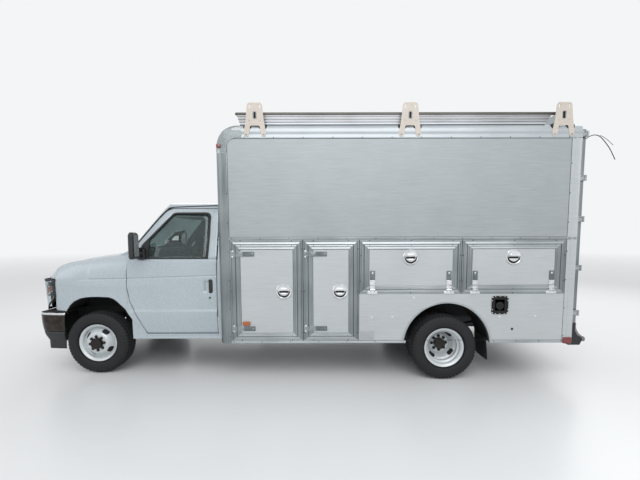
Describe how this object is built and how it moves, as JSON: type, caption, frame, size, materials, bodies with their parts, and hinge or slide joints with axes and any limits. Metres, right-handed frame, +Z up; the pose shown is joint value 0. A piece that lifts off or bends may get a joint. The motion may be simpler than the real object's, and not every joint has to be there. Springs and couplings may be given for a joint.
{
  "type": "full-size cutaway van with dual rear wheels and an enclosed service body",
  "caption": "Cutaway cab van with an enclosed aluminium service body: side lockers, rear doors, roof rack, steered front wheels and dual rear wheels.",
  "frame": {"origin": "on the ground, in the middle of the vehicle's overall length and width, with the loose lamp lead left out", "axes": "+X points forwards, +Y to the driver's (left) side, +Z up"},
  "size_m": [6.619, 2.5806, 3.013],
  "materials": {
    "cab_paint": "gloss",
    "body_panel": "satin",
    "frame_aluminium": "brushed",
    "chrome": "polished",
    "black_steel": "matte",
    "wheel_steel": "satin",
    "tyre_rubber": "matte",
    "black_plastic": "matte",
    "grey_plastic": "matte",
    "glass": "gloss",
    "lamp_lens": "gloss",
    "seat_cloth": "matte",
    "rack_paint": "satin",
    "engine_iron": "matte",
    "cable_jacket": "satin"
  },
  "bodies": {
    "vehicle": {"chassis_frame": "black_steel", "front_axle": "black_steel", "springs": "black_steel", "rear_axle": "black_steel", "engine": "engine_iron", "driveshaft": "black_steel", "exhaust": "wheel_steel", "fuel_tank": "black_plastic", "cab_shell": "cab_paint", "cab_floor": "grey_plastic", "fenders": "cab_paint", "grille_panel": "grey_plastic", "lamps": "lamp_lens", "front_bumper": "chrome", "front_valance": "black_plastic", "windshield": "glass", "seats": "seat_cloth", "dashboard": "grey_plastic", "box_floor": "frame_aluminium", "box_front_wall": "body_panel", "box_roof": "body_panel", "left_box_side": "body_panel", "right_box_side": "body_panel", "lockers": "frame_aluminium", "wheelhouses": "black_plastic", "rear_frame": "frame_aluminium", "rear_bumper": "black_steel", "roof_rack": "rack_paint"},
    "hood": {"hood": "cab_paint"},
    "steering_wheel": {"steering_wheel": "black_plastic"},
    "left_knuckle": {"left_knuckle": "black_steel"},
    "left_front_wheel": {"left_front_rim": "wheel_steel", "left_front_tyre": "tyre_rubber"},
    "left_rear_wheels": {"left_rear_rims": "wheel_steel", "left_rear_tyres": "tyre_rubber"},
    "left_cab_door": {"left_cab_door": "cab_paint", "left_door_glass": "glass", "left_mirror": "black_plastic"},
    "left_front_locker_door": {"left_front_locker_door": "body_panel"},
    "left_rear_locker_door": {"left_rear_locker_door": "body_panel"},
    "left_front_drop_door": {"left_front_drop_door": "body_panel"},
    "left_rear_drop_door": {"left_rear_drop_door": "body_panel"},
    "left_rear_door": {"left_rear_door": "body_panel", "lamp_lead": "cable_jacket", "lamp_lead_branch": "cable_jacket"},
    "right_knuckle": {"right_knuckle": "black_steel"},
    "right_front_wheel": {"right_front_rim": "wheel_steel", "right_front_tyre": "tyre_rubber"},
    "right_rear_wheels": {"right_rear_rims": "wheel_steel", "right_rear_tyres": "tyre_rubber"},
    "right_cab_door": {"right_cab_door": "cab_paint", "right_door_glass": "glass", "right_mirror": "black_plastic"},
    "right_front_locker_door": {"right_front_locker_door": "body_panel"},
    "right_rear_locker_door": {"right_rear_locker_door": "body_panel"},
    "right_front_drop_door": {"right_front_drop_door": "body_panel"},
    "right_rear_drop_door": {"right_rear_drop_door": "body_panel"},
    "right_rear_door": {"right_rear_door": "body_panel"}
  },
  "joints": [
    {"name": "left_steer", "type": "hinge", "parent": "vehicle", "child": "left_knuckle", "pos_m": [2.412, 0.79, 0.364], "axis": [0, 0, 1], "range_deg": [-32, 32]},
    {"name": "left_front_wheel_spin", "type": "hinge", "parent": "left_knuckle", "child": "left_front_wheel", "pos_m": [2.412, 0.881, 0.364], "axis": [0, 1, 0], "continuous": true},
    {"name": "left_rear_wheels_spin", "type": "hinge", "parent": "vehicle", "child": "left_rear_wheels", "pos_m": [-1.601, 0.978, 0.364], "axis": [0, 1, 0], "continuous": true},
    {"name": "left_cab_door_swing", "type": "hinge", "parent": "vehicle", "child": "left_cab_door", "pos_m": [2.015, 1.002, 0.95], "axis": [0, 0, -1], "range_deg": [0, 67]},
    {"name": "left_front_locker_swing", "type": "hinge", "parent": "vehicle", "child": "left_front_locker_door", "pos_m": [0.708, 1.229, 1], "axis": [0, 0, -1], "range_deg": [0, 110]},
    {"name": "left_rear_locker_swing", "type": "hinge", "parent": "vehicle", "child": "left_rear_locker_door", "pos_m": [-0.085, 1.229, 1], "axis": [0, 0, -1], "range_deg": [0, 110]},
    {"name": "left_front_drop_tilt", "type": "hinge", "parent": "vehicle", "child": "left_front_drop_door", "pos_m": [-1.2115, 1.229, 1.025], "axis": [-1, 0, 0], "range_deg": [0, 90]},
    {"name": "left_rear_drop_tilt", "type": "hinge", "parent": "vehicle", "child": "left_rear_drop_door", "pos_m": [-2.3365, 1.229, 1.025], "axis": [-1, 0, 0], "range_deg": [0, 90]},
    {"name": "left_rear_door_swing", "type": "hinge", "parent": "vehicle", "child": "left_rear_door", "pos_m": [-3.072, 1.215, 1.7], "axis": [0, 0, -1], "range_deg": [0, 180]},
    {"name": "right_steer", "type": "hinge", "parent": "vehicle", "child": "right_knuckle", "pos_m": [2.412, -0.79, 0.364], "axis": [0, 0, 1], "range_deg": [-32, 32]},
    {"name": "right_front_wheel_spin", "type": "hinge", "parent": "right_knuckle", "child": "right_front_wheel", "pos_m": [2.412, -0.881, 0.364], "axis": [0, 1, 0], "continuous": true},
    {"name": "right_rear_wheels_spin", "type": "hinge", "parent": "vehicle", "child": "right_rear_wheels", "pos_m": [-1.601, -0.978, 0.364], "axis": [0, 1, 0], "continuous": true},
    {"name": "right_cab_door_swing", "type": "hinge", "parent": "vehicle", "child": "right_cab_door", "pos_m": [2.015, -1.002, 0.95], "axis": [0, 0, 1], "range_deg": [0, 67]},
    {"name": "right_front_locker_swing", "type": "hinge", "parent": "vehicle", "child": "right_front_locker_door", "pos_m": [0.708, -1.229, 1], "axis": [0, 0, 1], "range_deg": [0, 110]},
    {"name": "right_rear_locker_swing", "type": "hinge", "parent": "vehicle", "child": "right_rear_locker_door", "pos_m": [-0.085, -1.229, 1], "axis": [0, 0, 1], "range_deg": [0, 110]},
    {"name": "right_front_drop_tilt", "type": "hinge", "parent": "vehicle", "child": "right_front_drop_door", "pos_m": [-1.2115, -1.229, 1.025], "axis": [1, 0, 0], "range_deg": [0, 90]},
    {"name": "right_rear_drop_tilt", "type": "hinge", "parent": "vehicle", "child": "right_rear_drop_door", "pos_m": [-2.3365, -1.229, 1.025], "axis": [1, 0, 0], "range_deg": [0, 90]},
    {"name": "right_rear_door_swing", "type": "hinge", "parent": "vehicle", "child": "right_rear_door", "pos_m": [-3.072, -1.215, 1.7], "axis": [0, 0, 1], "range_deg": [0, 180]},
    {"name": "hood_lift", "type": "hinge", "parent": "vehicle", "child": "hood", "pos_m": [2.247, 0, 1.414], "axis": [0, -1, 0], "range_deg": [0, 50]},
    {"name": "steering_wheel_turn", "type": "hinge", "parent": "vehicle", "child": "steering_wheel", "pos_m": [1.507, 0.43, 1.255], "axis": [-0.8192, 0, 0.5736], "range_deg": [-550, 550]}
  ],
  "couplings": [
    {"joint": "right_steer", "follows": "left_steer", "ratio": 1},
    {"joint": "steering_wheel_turn", "follows": "left_steer", "ratio": 17}
  ]
}
